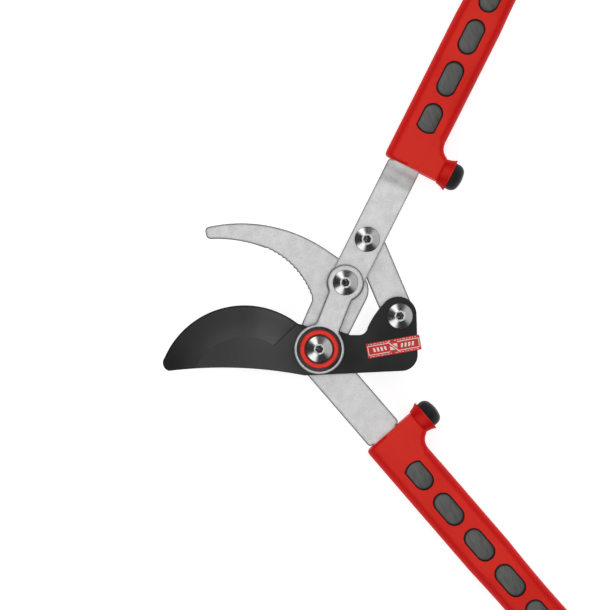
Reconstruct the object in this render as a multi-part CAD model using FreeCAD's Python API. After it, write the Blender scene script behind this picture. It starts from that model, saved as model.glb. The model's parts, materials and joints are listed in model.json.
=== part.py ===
"""Compound-action bypass pruning shears, lying flat with the jaws open.

Millimetres, +Z up. The origin is on the main pivot's axis, at the rear face of its nut.
Three layers are stacked along Z: the hook plate and the link, then the blade and the upper
bar, then the side strap. Four bolts hold them: the main pivot, the handle pivot on the hook
plate, and the link's top and bottom pivots.
"""

import FreeCAD, Part
import math
import os

V = FreeCAD.Vector
UP = V(0, 0, 1)

# --- Thicknesses and heights -------------------------------------------------------------
HOOK_THICK = 6.0          # hook plate, and the link beside it
BLADE_THICK = 5.0         # blade, and the upper bar beside it
STRAP_THICK = 4.0
SLIP = 0.4                # gap between two layers, with a thin washer in it
GRIP_THICK = 22.0         # both grips, which are centred on the hook plate's middle
PIVOT_NUT_HIGH = 6.8
PIVOT_NUT_WASHER = 1.2
EDGE = 0.4                # broken edges of the flat plates
PAST = 1.0                # how far a cutting tool reaches past the faces that it cuts
ROOM = 100.0              # size of a cutting block that only has to be larger than the part

HOOK_LOW = PIVOT_NUT_HIGH + PIVOT_NUT_WASHER
HOOK_TOP = HOOK_LOW + HOOK_THICK
BLADE_LOW = HOOK_TOP + SLIP
BLADE_TOP = BLADE_LOW + BLADE_THICK
STRAP_LOW = BLADE_TOP + SLIP
STRAP_TOP = STRAP_LOW + STRAP_THICK
GRIP_MID = HOOK_LOW + HOOK_THICK / 2
BAR_MID = BLADE_LOW + BLADE_THICK / 2

# --- Clearances --------------------------------------------------------------------------
RUN = 0.05                # radial, a part that turns on a pin
PRESS = 0.02              # radial, a part that sits still on a pin or in a bore
FACE = 0.05               # flat faces that turn against each other
STEM_GAP = 0.1            # steel in a grip's core
CORE_GAP = 0.1            # core and bumper in a grip's shell
SHOULDER_GAP = 0.5        # shoulders of the steel to a grip's end

# --- Pivots, seen from above with the jaws open ------------------------------------------
PIVOT = (0.0, 0.0)                    # main pivot of the blade
HANDLE_PIVOT_DIST, HANDLE_PIVOT_DEG = 44.2, 68.5
UPPER_DEG = 63.3                      # direction of the upper bar
LOWER_DEG = -49.2                     # direction of the lower tang
LINK_TOP_DIST = 30.1                  # handle pivot to the link's top pivot
LINK_BOTTOM_DIST, LINK_BOTTOM_DEG = 54.0, 22.3

# --- Fasteners ---------------------------------------------------------------------------
PIVOT_SHANK = 5.0
BOLT_SHANK = 4.0
BOLT_PROUD = 0.6          # bolt end beyond its nut
BOLT_HEAD, BOLT_HEAD_HIGH = 7.9, 2.4
PIVOT_HEAD, PIVOT_HEAD_HIGH = 8.3, 2.6
HEAD_RIM, HEAD_CHAMFER = 0.9, 0.2
CROWN_R = 3.3             # flat top of a bolt head
RECESS_R, LOBE_R, RECESS_DEEP, RECESS_DEG = 2.6, 0.6, 1.5, 10.0
NUT_FLATS, NUT_HIGH = 13.0, 4.0
NUT_WASHER, NUT_WASHER_R = 1.0, 8.8
NUT_SLOPE = 0.55
PIVOT_NUT_FLATS = 17.0
PIVOT_WASHER_R = 12.0
SLIP_R, HANDLE_SLIP_R, PIVOT_SLIP_R = 8.6, 10.2, 14.0
BLADE_BUSH_R, HANDLE_BUSH_R = 8.0, 6.0
CAP_R, CAP_RIM, CAP_TOP_R, CAP_HIGH, CAP_FLOOR = 14.0, 0.9, 12.5, 2.6, 1.2
RING_OUT, RING_IN, RING_HIGH, RING_ROUND = 12.1, 8.6, 2.2, 1.0

# --- Hook plate --------------------------------------------------------------------------
TANG_IN, TANG_OUT = 8.0, 16.1         # main pivot's axis to the tang's two edges
JAW_BACK_FROM_PIVOT, JAW_BACK_R = (-64.7, -56.8), 93.7  # from the handle pivot
JAW_BACK_DEG = 104.0      # where the back starts, at the tip
JAW_BITE_FROM_PIVOT, JAW_BITE_R = (-69.5, -25.7), 51.3
JAW_BITE_DEG = 71.5       # where the bite passes into the flatter nose
JAW_NOSE_R = 85.2
JAW_TIP_DEG = 93.8        # end of the nose, seen from its own centre
JAW_TIP_ROUND = 2.6
THROAT_DEG = 17.0         # end of the bite, seen from its centre
SHOULDER_R = 13.2
SHOULDER_FROM_PIVOT = (1.3, -4.5)
SHOULDER_ROUND, CROTCH_ROUND, THROAT_ROUND = 2.4, 6.0, 1.6
TOOTH_PITCH, TOOTH_R, TOOTH_DEEP, TEETH = 3.1, 2.6, 0.55, 14

# --- Blade -------------------------------------------------------------------------------
EDGE_CENTRE, EDGE_R = (-46.4, -27.0), 54.1
EDGE_HEEL_DEG, EDGE_TIP_DEG = 52.2, 156.6
TIP_BELLY, TIP_END = (-96.6, -10.6), (-93.2, -13.6)
SPINE_MID = (-57.5, -11.5)
BELLY = (-9.0, -16.4)
TAIL_CORNER = (61.3, -13.1)
TAIL_ROUND = 10.0
EAR_R, EAR_SHIFT, EAR_DEG = 11.4, (-1.0, 0.6), (8.0, 141.0)
FLANK_MID, FLANK_END = (35.2, 22.4), (30.0, 13.4)
VALLEY_MID, VALLEY_END = (28.4, 10.2), (24.5, 8.7)
FLOOR_END = (19.5, 8.7)
RISE_MID, RISE_DEG = (13.9, 10.6), 55.0
BLADE_BOSS_R = 15.4
BOSS_HEEL_DEG = 115.0
BEVEL_IN = 34.4           # radius where the hollow-ground bevel starts
BEVEL_SAG = 0.45          # hollow of the bevel
EDGE_LAND = 0.35          # thickness left at the cutting edge
RUNOUT_DEG, RUNOUT_SLOPE = 222.0, 50.0  # direction and slope of the face where it runs out

# --- Strap, upper bar and link -----------------------------------------------------------
STRAP_EYE_R, STRAP_TOP_EYE_R = 15.7, 11.2
STRAP_WIDTH = 15.0
STRAP_FILLET = 2.6
BAR_WIDTH = 21.0
BAR_END_R = 11.7
BAR_SHOULDER_ROUND = 1.6
JOGGLE_START, JOGGLE_END = 65.5, 80.0 # from the handle pivot
JOGGLE_DROP = 2.8         # how far the bar bends down before the grip
LINK_END_R = 9.7

# --- Grips -------------------------------------------------------------------------------
LOWER_COLLAR, UPPER_COLLAR = 67.4, 81.8   # pivot to the grip's end, along the steel
UPPER_SHIFT = 1.3         # upper grip's middle, inwards of the bar's
SHELL_LENGTH = 215.0
SHELL_WIDTH, SHELL_WAIST, SHELL_FLARE = 30.4, 29.0, 34.0
STRAIGHT_TO, WAIST_AT = 100.0, 150.0
SHELL_CORNER = 8.0        # corner radius of the section
SHELL_WALL, COLLAR_WALL = 2.6, 3.0
COLLAR_ROUND, FAR_ROUND = 2.4, 13.0
STEM_LENGTH, STEM_WIDTH = 120.0, 18.0 # steel inside each grip
STEM_HOLE_R, STEM_HOLES = 4.0, (32.0, 60.0, 88.0)
FIRST_WINDOW, FIRST_WINDOW_LONG = 22.9, 19.7
WINDOW_LONG, WINDOW_WIDE, RIB = 23.5, 12.6, 5.6
LAST_RIB = 8.0            # least length between the last window and the rounded far end
WINDOW_ROUND = 0.9
FLAT_BOW, NEAR_BOW, FAR_BOW = 2.5, 5.6, 5.9
PAD_SUNK = 0.8
NECK_AT = 7.1             # from the grip's end
NECK_SKIRT_R, NECK_SKIRT = 27.0, 7.0  # the neck spreads until it is inside the grip
NECK_FOOT_R, NECK_FOOT = 16.0, 15.2
NECK_WAIST_R, NECK_WAIST = 8.2, 21.0
NECK_FACE = 0.15          # neck's flat sides, below the grip's faces
NECK_EDGE, NECK_END = 5.0, 2.0        # rounding of the foot's inner edge, and of its end
LIP_R, LIP, LIP_HIGH = 10.2, 27.3, 0.5
SOCKET_R, SOCKET_DEEP = 8.6, 1.2
PLUG_R, PLUG_DEEP = 5.0, 7.0
BUMPER_HIGH, BUMPER_SIDE = 7.6, 1.7   # above the lip
BUMPER_SHOULDER_R, BUMPER_SHOULDER = 4.25, 7.0
BUMPER_BULGE_R, BUMPER_BULGE = 7.57, 5.0

# --- Label -------------------------------------------------------------------------------
LABEL_LONG, LABEL_WIDE, LABEL_THICK, LABEL_ROUND = 33.6, 9.3, 0.3, 0.8
LABEL_CENTRE, LABEL_DEG = (46.1, 1.5), 10.1

DIAGONAL = 1 - math.sqrt(0.5)         # middle of a quarter round, from its corner, over its radius


# --- Geometry helpers --------------------------------------------------------------------
def polar(radius, degrees, centre=PIVOT):
    """Point at a radius and direction from a centre."""
    a = math.radians(degrees)
    return (centre[0] + radius * math.cos(a), centre[1] + radius * math.sin(a))


def bearing(start, end):
    """Direction from one point to another, in degrees."""
    return math.degrees(math.atan2(end[1] - start[1], end[0] - start[0]))


def offset(point, shift):
    return (point[0] + shift[0], point[1] + shift[1])


def meet(point_a, deg_a, point_b, deg_b):
    """Where a line through each point, in each direction, cross."""
    ax, ay = polar(1, deg_a)
    bx, by = polar(1, deg_b)
    dx, dy = point_b[0] - point_a[0], point_b[1] - point_a[1]
    along = (dx * by - dy * bx) / (ax * by - ay * bx)
    return (point_a[0] + along * ax, point_a[1] + along * ay)


def touch(point, centre, radius, side):
    """Where the line from a point touches a circle: side 1 is the circle's left, -1 its right."""
    away = math.degrees(math.acos(radius / math.dist(point, centre)))
    return polar(radius, bearing(centre, point) + side * away, centre)


def common_tangent(centre, radius, other, other_radius):
    """Direction from either centre to where a line touches both circles on their left."""
    lean = math.degrees(math.acos((radius - other_radius) / math.dist(centre, other)))
    return bearing(centre, other) + lean


def sweep(centre, radius, start_deg, end_deg):
    """An outline's arc step on a circle."""
    middle = polar(radius, (start_deg + end_deg) / 2, centre)
    return (middle, polar(radius, end_deg, centre))


def outline(start, *steps):
    """Flat face at height 0. A step is an end point, or (through, end) for an arc."""
    edges = []
    here = first = V(*start, 0)
    for step in steps:
        if isinstance(step[0], tuple):
            end = V(*step[1], 0)
            edges.append(Part.Arc(here, V(*step[0], 0), end).toShape())
        else:
            end = V(*step, 0)
            edges.append(Part.LineSegment(here, end).toShape())
        here = end
    if here.distanceToPoint(first) > 1e-6:
        edges.append(Part.LineSegment(here, first).toShape())
    return Part.Face(Part.Wire(edges))


def raise_plate(face, low, thick):
    return face.translated(V(0, 0, low)).extrude(V(0, 0, thick))


def rod(point, radius, low, high):
    return Part.makeCylinder(radius, high - low, V(*point, low))


def tube(point, outer, inner, low, high):
    return rod(point, outer, low, high).cut(rod(point, inner, low, high))


def drill(plate, point, radius, low, high):
    """Hole through a plate between two heights."""
    return plate.cut(rod(point, radius, low - PAST, high + PAST))


def block(x, y, z):
    """Box between two limits along each axis."""
    return Part.makeBox(x[1] - x[0], y[1] - y[0], z[1] - z[0], V(x[0], y[0], z[0]))


def hexagon(point, flats, low, high):
    corners = [polar(flats / math.sqrt(3), 60 * i, point) for i in range(6)]
    return raise_plate(outline(*corners), low, high - low)


def spin(profile, point, low):
    """Solid of revolution about an upright axis; the profile is (radius, height) steps."""
    edges = outline(*profile)
    edges.rotate(V(0, 0, 0), V(1, 0, 0), 90)
    solid = edges.revolve(V(0, 0, 0), UP, 360)
    return solid.translated(V(*point, low))


def upright(edge):
    a, b = edge.Vertexes[0].Point, edge.Vertexes[-1].Point
    return math.hypot(a.x - b.x, a.y - b.y) < 1e-6 < abs(a.z - b.z)


def upright_edges(solid, points, reach=0.6):
    """The solid's upright edges that stand within reach of the points."""
    found = []
    for edge in filter(upright, solid.Edges):
        a = edge.Vertexes[0].Point
        if any(math.hypot(a.x - x, a.y - y) < reach for x, y in points):
            found.append(edge)
    return found


def break_rim(solid, low, high, size=EDGE):
    """Chamfers the outer rim of a plate's two flat faces."""
    rim = []
    for face in solid.Faces:
        box = face.BoundBox
        if box.ZLength < 1e-6 and (abs(box.ZMin - low) < 1e-6 or abs(box.ZMin - high) < 1e-6):
            rim += face.OuterWire.Edges
    return solid.makeChamfer(size, rim)


HANDLE_PIVOT = polar(HANDLE_PIVOT_DIST, HANDLE_PIVOT_DEG)
LINK_TOP = polar(LINK_TOP_DIST, UPPER_DEG, HANDLE_PIVOT)
LINK_BOTTOM = polar(LINK_BOTTOM_DIST, LINK_BOTTOM_DEG)
JAW_BACK_CENTRE = offset(HANDLE_PIVOT, JAW_BACK_FROM_PIVOT)
JAW_BITE_CENTRE = offset(HANDLE_PIVOT, JAW_BITE_FROM_PIVOT)


# --- Hook plate --------------------------------------------------------------------------
def along_tang(distance, inwards):
    """Point in the tang's own directions: along it, and towards the other handle."""
    return polar(inwards, LOWER_DEG + 90, polar(distance, LOWER_DEG))


def jaw_outline():
    """The hook, its boss and the tang, and the corners that are rounded later."""
    throat = polar(JAW_BITE_R, THROAT_DEG, JAW_BITE_CENTRE)
    bite_end = polar(JAW_BITE_R, JAW_BITE_DEG, JAW_BITE_CENTRE)
    nose_centre = polar(-JAW_NOSE_R, JAW_BITE_DEG, bite_end)
    nose_end = polar(JAW_NOSE_R, JAW_TIP_DEG, nose_centre)
    back_start = polar(JAW_BACK_R, JAW_BACK_DEG, JAW_BACK_CENTRE)
    shoulder = offset(HANDLE_PIVOT, SHOULDER_FROM_PIVOT)
    top_deg = common_tangent(JAW_BACK_CENTRE, JAW_BACK_R, shoulder, SHOULDER_R)
    side = polar(SHOULDER_R, UPPER_DEG - 90, shoulder)
    crotch = meet(side, UPPER_DEG, along_tang(0, TANG_IN), LOWER_DEG)
    wide_end = LOWER_COLLAR - SHOULDER_GAP
    boss_end = touch(throat, PIVOT, TANG_OUT, 1)
    face = outline(
        throat,
        sweep(JAW_BITE_CENTRE, JAW_BITE_R, THROAT_DEG, JAW_BITE_DEG),
        sweep(nose_centre, JAW_NOSE_R, JAW_BITE_DEG, JAW_TIP_DEG),
        back_start,
        sweep(JAW_BACK_CENTRE, JAW_BACK_R, JAW_BACK_DEG, top_deg),
        polar(SHOULDER_R, top_deg, shoulder),
        sweep(shoulder, SHOULDER_R, top_deg, UPPER_DEG - 90),
        crotch,
        along_tang(wide_end, TANG_IN),
        along_tang(wide_end, -TANG_OUT),
        along_tang(0, -TANG_OUT),
        sweep(PIVOT, TANG_OUT, LOWER_DEG + 270, bearing(PIVOT, boss_end)),
    )
    return face, crotch, throat, (nose_end, back_start)


def stem(frame, low, thick):
    """Flat steel that a grip's core grows around, with holes that the core fills."""
    half = STEM_WIDTH / 2
    plate = block((-SHOULDER_GAP - PAST, STEM_LENGTH), (-half, half), (low, low + thick))
    for at in STEM_HOLES:
        plate = drill(plate, (at, 0), STEM_HOLE_R, low, low + thick)
    return plate.transformGeometry(frame)


def make_hook():
    face, crotch, throat, tip = jaw_outline()
    plate = raise_plate(face, HOOK_LOW, HOOK_THICK)
    wide_end = LOWER_COLLAR - SHOULDER_GAP
    shoulders = [along_tang(wide_end, TANG_IN), along_tang(wide_end, -TANG_OUT)]
    plate = plate.makeFillet(SHOULDER_ROUND, upright_edges(plate, shoulders))
    plate = plate.makeFillet(CROTCH_ROUND, upright_edges(plate, [crotch]))
    plate = plate.makeFillet(THROAT_ROUND, upright_edges(plate, [throat]))
    plate = plate.makeFillet(JAW_TIP_ROUND, upright_edges(plate, tip))
    plate = break_rim(plate, HOOK_LOW, HOOK_TOP)
    flare = TOOTH_R + EDGE + PAST
    profile = [(0, HOOK_LOW - PAST), (flare, HOOK_LOW - PAST), (TOOTH_R, HOOK_LOW + EDGE),
               (TOOTH_R, HOOK_TOP - EDGE), (flare, HOOK_TOP + PAST), (0, HOOK_TOP + PAST)]
    step = math.degrees(TOOTH_PITCH / JAW_BITE_R)
    for i in range(TEETH):
        angle = THROAT_DEG + step * (i + 1)
        where = polar(JAW_BITE_R + TOOTH_DEEP - TOOTH_R, angle, JAW_BITE_CENTRE)
        plate = plate.cut(spin(profile, where, 0))
    for point, radius in ((PIVOT, PIVOT_SHANK), (HANDLE_PIVOT, BOLT_SHANK)):
        plate = drill(plate, point, radius + PRESS, HOOK_LOW, HOOK_TOP)
    return plate.fuse(stem(lower_frame(), HOOK_LOW, HOOK_THICK)).removeSplitter()


# --- Blade -------------------------------------------------------------------------------
def blade_outline():
    """The blade from above, anticlockwise from the heel of its cutting edge."""
    heel = polar(EDGE_R, EDGE_HEEL_DEG, EDGE_CENTRE)
    ear = offset(LINK_BOTTOM, EAR_SHIFT)
    ear_start = polar(EAR_R, EAR_DEG[0], ear)
    ear_end = polar(EAR_R, EAR_DEG[1], ear)
    rise = polar(BLADE_BOSS_R, RISE_DEG)
    return outline(
        heel,
        sweep(EDGE_CENTRE, EDGE_R, EDGE_HEEL_DEG, EDGE_TIP_DEG),
        (TIP_BELLY, TIP_END),
        (SPINE_MID, BELLY),
        TAIL_CORNER,
        ear_start,
        sweep(ear, EAR_R, *EAR_DEG),
        (FLANK_MID, FLANK_END),
        (VALLEY_MID, VALLEY_END),
        FLOOR_END,
        (RISE_MID, rise),
        sweep(PIVOT, BLADE_BOSS_R, RISE_DEG, BOSS_HEEL_DEG),
    )


def bevel_cutter():
    """The wide hollow grind on the blade's front face, which runs out beside the heel."""
    depth = BLADE_THICK - EDGE_LAND
    middle = ((BEVEL_IN + EDGE_R) / 2, BLADE_TOP - depth / 2 - BEVEL_SAG)
    outside, above = EDGE_R + BLADE_THICK, BLADE_TOP + BLADE_THICK
    profile = [(BEVEL_IN, BLADE_TOP), (middle, (EDGE_R, BLADE_TOP - depth)),
               (outside, BLADE_TOP - depth), (outside, above), (BEVEL_IN, above)]
    ring = spin(profile, EDGE_CENTRE, 0)
    heel = polar(EDGE_R, EDGE_HEEL_DEG, EDGE_CENTRE)
    keep = block((-ROOM, ROOM), (0, 2 * ROOM), (-ROOM, ROOM))
    keep.rotate(V(0, 0, 0), V(1, 0, 0), RUNOUT_SLOPE)
    keep.rotate(V(0, 0, 0), UP, RUNOUT_DEG)
    return ring.cut(keep.translated(V(*heel, BLADE_TOP)))


def make_blade():
    blade = raise_plate(blade_outline(), BLADE_LOW, BLADE_THICK)
    blade = blade.makeFillet(TAIL_ROUND, upright_edges(blade, [TAIL_CORNER]))
    blade = blade.cut(bevel_cutter())
    blade = drill(blade, PIVOT, BLADE_BUSH_R + PRESS, BLADE_LOW, BLADE_TOP)
    return drill(blade, LINK_BOTTOM, BOLT_SHANK + PRESS, BLADE_LOW, BLADE_TOP)


# --- Strap, link and upper bar -----------------------------------------------------------
def bar_outline(start, start_r, end, end_r, width, fillet):
    """Two round eyes and a straight bar between them, with the inner corners rounded."""
    half = width / 2
    deg = bearing(start, end)
    length = math.dist(start, end)

    def place(along, across):
        return polar(across, deg + 90, polar(along, deg, start))

    def corner(radius):
        """Where a fillet leaves the bar, its middle, and where it meets the eye."""
        reach = math.sqrt((radius + fillet) ** 2 - (half + fillet) ** 2)
        share = radius / (radius + fillet)
        turn = (math.atan2(half + fillet, reach) - math.pi / 2) / 2
        bulge = (reach + fillet * math.sin(turn), half + fillet - fillet * math.cos(turn))
        return reach, bulge, (reach * share, (half + fillet) * share)

    near_reach, near_bulge, near_eye = corner(start_r)
    far_reach, far_bulge, far_eye = corner(end_r)
    return outline(
        place(near_eye[0], -near_eye[1]),
        (place(near_bulge[0], -near_bulge[1]), place(near_reach, -half)),
        place(length - far_reach, -half),
        (place(length - far_bulge[0], -far_bulge[1]), place(length - far_eye[0], -far_eye[1])),
        (place(length + end_r, 0), place(length - far_eye[0], far_eye[1])),
        (place(length - far_bulge[0], far_bulge[1]), place(length - far_reach, half)),
        place(near_reach, half),
        (place(near_bulge[0], near_bulge[1]), place(near_eye[0], near_eye[1])),
        (place(-start_r, 0), place(near_eye[0], -near_eye[1])),
    )


def make_strap():
    face = bar_outline(PIVOT, STRAP_EYE_R, HANDLE_PIVOT, STRAP_TOP_EYE_R, STRAP_WIDTH, STRAP_FILLET)
    strap = break_rim(raise_plate(face, STRAP_LOW, STRAP_THICK), STRAP_LOW, STRAP_TOP)
    for point, radius in ((PIVOT, PIVOT_SHANK), (HANDLE_PIVOT, BOLT_SHANK)):
        strap = drill(strap, point, radius + PRESS, STRAP_LOW, STRAP_TOP)
    return strap


def make_link():
    deg = bearing(LINK_TOP, LINK_BOTTOM)
    face = outline(
        polar(LINK_END_R, deg + 90, LINK_TOP),
        (polar(-LINK_END_R, deg, LINK_TOP), polar(LINK_END_R, deg - 90, LINK_TOP)),
        polar(LINK_END_R, deg - 90, LINK_BOTTOM),
        (polar(LINK_END_R, deg, LINK_BOTTOM), polar(LINK_END_R, deg + 90, LINK_BOTTOM)),
    )
    link = break_rim(raise_plate(face, HOOK_LOW, HOOK_THICK), HOOK_LOW, HOOK_TOP)
    link = drill(link, LINK_TOP, BOLT_SHANK + PRESS, HOOK_LOW, HOOK_TOP)
    return drill(link, LINK_BOTTOM, BOLT_SHANK + RUN, HOOK_LOW, HOOK_TOP)


def joggle_profile(half, end):
    """Side view of the upper bar, which bends down a little before it enters the grip."""
    high, low = BAR_MID, BAR_MID - JOGGLE_DROP
    run = JOGGLE_END - JOGGLE_START
    turn = 2 * math.degrees(math.atan2(JOGGLE_DROP, run))
    bend = run / (2 * math.sin(math.radians(turn)))
    first = (JOGGLE_START, high - bend)
    last = (JOGGLE_END, low + bend)
    start = -BAR_END_R - PAST
    return outline(
        (start, high + half),
        (JOGGLE_START, high + half),
        sweep(first, bend + half, 90, 90 - turn),
        sweep(last, bend - half, 270 - turn, 270),
        (end, low + half),
        (end, low - half),
        (JOGGLE_END, low - half),
        sweep(last, bend + half, 270, 270 - turn),
        sweep(first, bend - half, 90 - turn, 90),
        (start, high - half),
    )


def make_upper_bar():
    half = BLADE_THICK / 2
    wide_end = UPPER_COLLAR - SHOULDER_GAP
    neck = math.sqrt(BAR_END_R ** 2 - (BAR_WIDTH / 2) ** 2)
    face = outline((neck, -BAR_WIDTH / 2), (wide_end, -BAR_WIDTH / 2), (wide_end, BAR_WIDTH / 2),
                   (neck, BAR_WIDTH / 2), ((-BAR_END_R, 0), (neck, -BAR_WIDTH / 2)))
    side = joggle_profile(half, wide_end)
    side.rotate(V(0, 0, 0), V(1, 0, 0), 90)
    bent = side.translated(V(0, BAR_WIDTH, 0)).extrude(V(0, -2 * BAR_WIDTH, 0))
    flat = raise_plate(face, 0, STRAP_TOP)
    corners = [(wide_end, -BAR_WIDTH / 2), (wide_end, BAR_WIDTH / 2)]
    flat = flat.makeFillet(BAR_SHOULDER_ROUND, upright_edges(flat, corners))
    bar = flat.common(bent)
    for at, radius in ((0, HANDLE_BUSH_R), (LINK_TOP_DIST, BOLT_SHANK)):
        bar = drill(bar, (at, 0), radius + PRESS, BLADE_LOW, BLADE_TOP)
    tail = stem(FreeCAD.Matrix(), BAR_MID - JOGGLE_DROP - half, BLADE_THICK)
    tail = tail.translated(V(UPPER_COLLAR, -UPPER_SHIFT, 0))
    return bar.fuse(tail).removeSplitter().transformGeometry(bar_frame())


# --- Frames of the two handles -----------------------------------------------------------
def frame_at(point, degrees, flip):
    """Local X along the handle and local Y towards the other handle; flip mirrors Y."""
    along, across = polar(1, degrees), polar(flip, degrees + 90)
    return FreeCAD.Matrix(along[0], across[0], 0, point[0],
                          along[1], across[1], 0, point[1],
                          0, 0, 1, 0, 0, 0, 0, 1)


def bar_frame():
    """Along the upper bar from the handle pivot, with local Y away from the lower handle."""
    return frame_at(HANDLE_PIVOT, UPPER_DEG, 1)


def upper_frame():
    start = polar(-UPPER_SHIFT, UPPER_DEG + 90, polar(UPPER_COLLAR, UPPER_DEG, HANDLE_PIVOT))
    return frame_at(start, UPPER_DEG, -1)


def lower_frame():
    return frame_at(along_tang(LOWER_COLLAR, (TANG_IN - TANG_OUT) / 2), LOWER_DEG, 1)


# --- Grips, in the handle's own frame ----------------------------------------------------
def grip_body(shrink, start, end):
    """Rounded bar with a waist for the palm and a flare at the far end."""
    half = SHELL_WIDTH / 2 - shrink
    waist = SHELL_WAIST / 2 - shrink
    flare = SHELL_FLARE / 2 - shrink
    corner = SHELL_CORNER - shrink
    thick = GRIP_THICK - 2 * shrink
    turn = FAR_ROUND - shrink
    diagonal = turn * DIAGONAL
    before = start - thick
    face = outline(
        (before, -half),
        (STRAIGHT_TO, -half),
        ((WAIST_AT, -waist), (end - turn, -flare)),
        ((end - diagonal, -flare + diagonal), (end, -flare + turn)),
        (end, flare - turn),
        ((end - diagonal, flare - diagonal), (end - turn, flare)),
        ((WAIST_AT, waist), (STRAIGHT_TO, half)),
        (before, half),
    )
    body = raise_plate(face, GRIP_MID - thick / 2, thick)
    rim = []
    for side in body.Faces:
        if side.BoundBox.ZLength < 1e-6:
            rim += [e for e in side.Edges if e.BoundBox.XMax > before + PAST]
    body = body.makeFillet(corner, rim)
    return body.cut(block((before - PAST, start), (-ROOM, ROOM), (-ROOM, ROOM)))


def window_outline(start, length, near_bow, far_bow, inset):
    """A window has straight sides and bowed ends."""
    half = WINDOW_WIDE / 2 - inset
    near, far = start + inset, start + length - inset
    return outline(
        (near + near_bow, -half),
        (far - far_bow, -half),
        ((far, 0), (far - far_bow, half)),
        (near + near_bow, half),
        ((near, 0), (near + near_bow, -half)),
    )


def windows(inset, high):
    """A row of upright plugs through the grip, as high as given, centred on its thickness."""
    faces = [window_outline(FIRST_WINDOW, FIRST_WINDOW_LONG, FLAT_BOW, FAR_BOW, inset)]
    start = FIRST_WINDOW + FIRST_WINDOW_LONG + RIB
    while start + WINDOW_LONG + LAST_RIB <= SHELL_LENGTH - FAR_ROUND:
        faces.append(window_outline(start, WINDOW_LONG, NEAR_BOW, FAR_BOW, inset))
        start += WINDOW_LONG + RIB
    plugs = [raise_plate(face, GRIP_MID - high / 2, high) for face in faces]
    return [p.makeFillet(WINDOW_ROUND - inset, [e for e in p.Edges if upright(e)]) for p in plugs]


def neck():
    """Neck that holds the bumper: a flat foot that grows out of the grip, and a turned trumpet."""
    half = GRIP_THICK / 2 - NECK_FACE
    waist = NECK_AT + NECK_WAIST_R
    bulge = (NECK_AT + (NECK_FOOT_R + 2 * NECK_WAIST_R) / 3, (2 * NECK_FOOT + NECK_WAIST) / 3)
    plan = outline((0, 0), (NECK_AT + NECK_SKIRT_R, 0), (NECK_AT + NECK_SKIRT_R, NECK_SKIRT),
                   (NECK_AT + NECK_FOOT_R, NECK_FOOT), (bulge, (waist, NECK_WAIST)), (0, NECK_WAIST))
    foot = raise_plate(plan, GRIP_MID - half, 2 * half)
    level = [e for e in foot.Edges if e.BoundBox.ZLength < 1e-6]
    slope = [e for e in level if e.BoundBox.XMin > waist - PAST and e.BoundBox.YMax > NECK_SKIRT + PAST]
    foot = foot.makeFillet(NECK_EDGE, slope)
    level = [e for e in foot.Edges if e.BoundBox.ZLength < 1e-6]
    foot = foot.makeFillet(NECK_END, [e for e in level if e.BoundBox.YMin > NECK_WAIST - PAST])
    lip_low = LIP - LIP_HIGH
    flare_bulge = ((LIP_R + 2 * NECK_WAIST_R) / 3, (NECK_WAIST + lip_low) / 2)
    profile = [(0, 0), (NECK_WAIST_R, 0), (NECK_WAIST_R, NECK_WAIST), (flare_bulge, (LIP_R, lip_low)),
               (LIP_R, LIP), (0, LIP)]
    trumpet = spin(profile, (0, 0), 0)
    trumpet.rotate(V(0, 0, 0), V(1, 0, 0), -90)
    trumpet = trumpet.translated(V(NECK_AT, 0, GRIP_MID))
    before_collar = block((-ROOM, 0), (0, NECK_WAIST), (-ROOM, ROOM))
    return foot.fuse(trumpet.cut(before_collar))


def across(radius, low, high):
    """Rod on the neck's axis, by its distances from the handle's middle."""
    solid = rod((0, 0), radius, low, high)
    solid.rotate(V(0, 0, 0), V(1, 0, 0), -90)
    return solid.translated(V(NECK_AT, 0, GRIP_MID))


def stem_room(start, end, middle, thick):
    """The steel's own space in a grip, with its gap."""
    wide, high = STEM_WIDTH / 2 + STEM_GAP, thick / 2 + STEM_GAP
    return block((start, end), (-wide, wide), (middle - high, middle + high))


def make_shell(middle, thick):
    """Hollow shell with a slot for the steel, a socket for the bumper and open windows."""
    shell = grip_body(0, 0, SHELL_LENGTH)
    end_rim = [e for e in shell.Edges if e.BoundBox.XMax < 1e-6]
    shell = shell.makeFillet(COLLAR_ROUND, end_rim)
    shell = shell.fuse(neck())
    shell = shell.cut(grip_body(SHELL_WALL, COLLAR_WALL, SHELL_LENGTH - SHELL_WALL))
    shell = shell.cut(stem_room(-PAST, COLLAR_WALL + PAST, middle, thick))
    shell = shell.cut(across(SOCKET_R, LIP - SOCKET_DEEP, LIP + PAST))
    shell = shell.cut(across(PLUG_R, LIP - PLUG_DEEP, LIP))
    for plug in windows(0, 2 * GRIP_THICK):
        shell = shell.cut(plug)
    return shell


def make_core(middle, thick):
    """Soft core that fills the shell, stands in its windows and grows around the steel."""
    gap = SHELL_WALL + CORE_GAP
    core = grip_body(gap, COLLAR_WALL + CORE_GAP, SHELL_LENGTH - gap)
    for plug in windows(CORE_GAP, GRIP_THICK - 2 * PAD_SUNK):
        core = core.fuse(plug)
    slot = stem_room(0, STEM_LENGTH + STEM_GAP, middle, thick)
    for at in STEM_HOLES:
        slot = drill(slot, (at, 0), STEM_HOLE_R - STEM_GAP, middle - thick, middle + thick)
    return core.cut(slot)


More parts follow.
